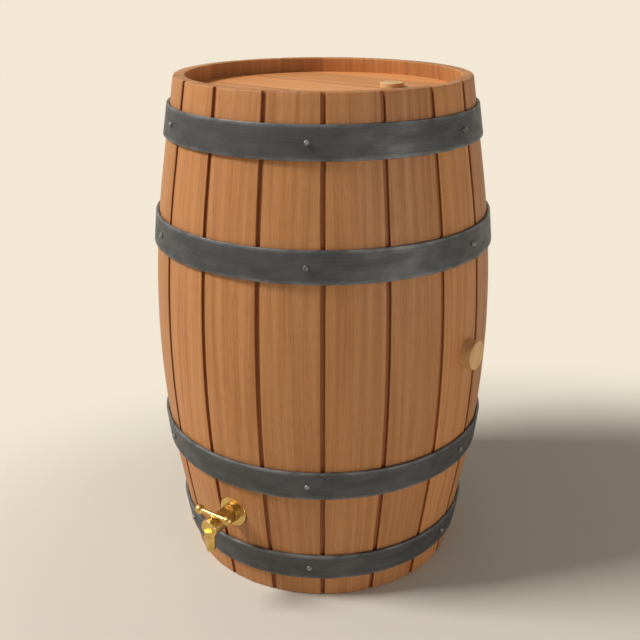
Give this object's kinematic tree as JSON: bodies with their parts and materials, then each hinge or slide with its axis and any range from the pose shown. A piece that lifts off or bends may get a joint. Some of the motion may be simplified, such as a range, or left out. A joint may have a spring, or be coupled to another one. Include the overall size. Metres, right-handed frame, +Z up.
{
  "type": "oak barrel with tap",
  "caption": "Upright oak barrel: bent staves under nailed steel hoops, boarded heads, a bung in the top head, a bung in the side, and a brass tap with a turning T handle near the base.",
  "frame": {"origin": "centre of the base, on the surface that the barrel stands on", "axes": "+Z up along the barrel's axis; -Y is the side seen in the picture, with +X to its right, so the tap is low at the front left and the side bung is on the right"},
  "size_m": [0.6498, 0.65, 0.95],
  "materials": {
    "stave_oak": "oiled, satin",
    "head_oak": "planed, satin",
    "bung_oak": "turned, satin",
    "hoop_steel": "dark, satin",
    "nail_iron": "forged, worn bright",
    "tap_brass": "polished, a little worn",
    "gasket_rubber": "matte"
  },
  "bodies": {
    "barrel": {"chime_hoop_bottom": "hoop_steel", "chime_hoop_bottom_nails": "nail_iron", "chime_hoop_top": "hoop_steel", "chime_hoop_top_nails": "nail_iron", "head_bottom_board_1": "head_oak", "head_bottom_board_2": "head_oak", "head_bottom_board_3": "head_oak", "head_bottom_board_4": "head_oak", "head_bottom_board_5": "head_oak", "head_top_board_1": "head_oak", "head_top_board_2": "head_oak", "head_top_board_3": "head_oak", "head_top_board_4": "head_oak", "head_top_board_5": "head_oak", "hoop_lap_rivets": "nail_iron", "quarter_hoop_bottom": "hoop_steel", "quarter_hoop_bottom_nails": "nail_iron", "quarter_hoop_top": "hoop_steel", "quarter_hoop_top_nails": "nail_iron", "stave_01": "stave_oak", "stave_02": "stave_oak", "stave_03": "stave_oak", "stave_04": "stave_oak", "stave_05": "stave_oak", "stave_06": "stave_oak", "stave_07": "stave_oak", "stave_08": "stave_oak", "stave_09": "stave_oak", "stave_10": "stave_oak", "stave_11": "stave_oak", "stave_12": "stave_oak", "stave_13": "stave_oak", "stave_14": "stave_oak", "stave_15": "stave_oak", "stave_16": "stave_oak", "stave_17": "stave_oak", "stave_18": "stave_oak", "tap_body": "tap_brass", "tap_gasket": "gasket_rubber", "tap_gland_nut": "tap_brass", "tap_lock_nut": "tap_brass", "tap_saddle_gasket": "gasket_rubber", "tap_spout": "tap_brass", "tap_washer": "tap_brass"},
    "tap_valve": {"tap_plug": "tap_brass", "tap_handle": "tap_brass", "tap_handle_balls": "tap_brass"},
    "head_bung": {"head_bung": "bung_oak"},
    "bilge_bung": {"bilge_bung": "bung_oak"}
  },
  "joints": [
    {"name": "tap_turn", "type": "hinge", "parent": "barrel", "child": "tap_valve", "pos_m": [-0.19984, -0.29406, 0.174], "axis": [0, 0, 1], "range_deg": [0, 90]},
    {"name": "head_bung_pull", "type": "slide", "parent": "barrel", "child": "head_bung", "axis": [0, 0, 1], "range_m": [0, 0.06]},
    {"name": "bilge_bung_pull", "type": "slide", "parent": "barrel", "child": "bilge_bung", "axis": [0.809, -0.5878, 0], "range_m": [0, 0.06]}
  ]
}
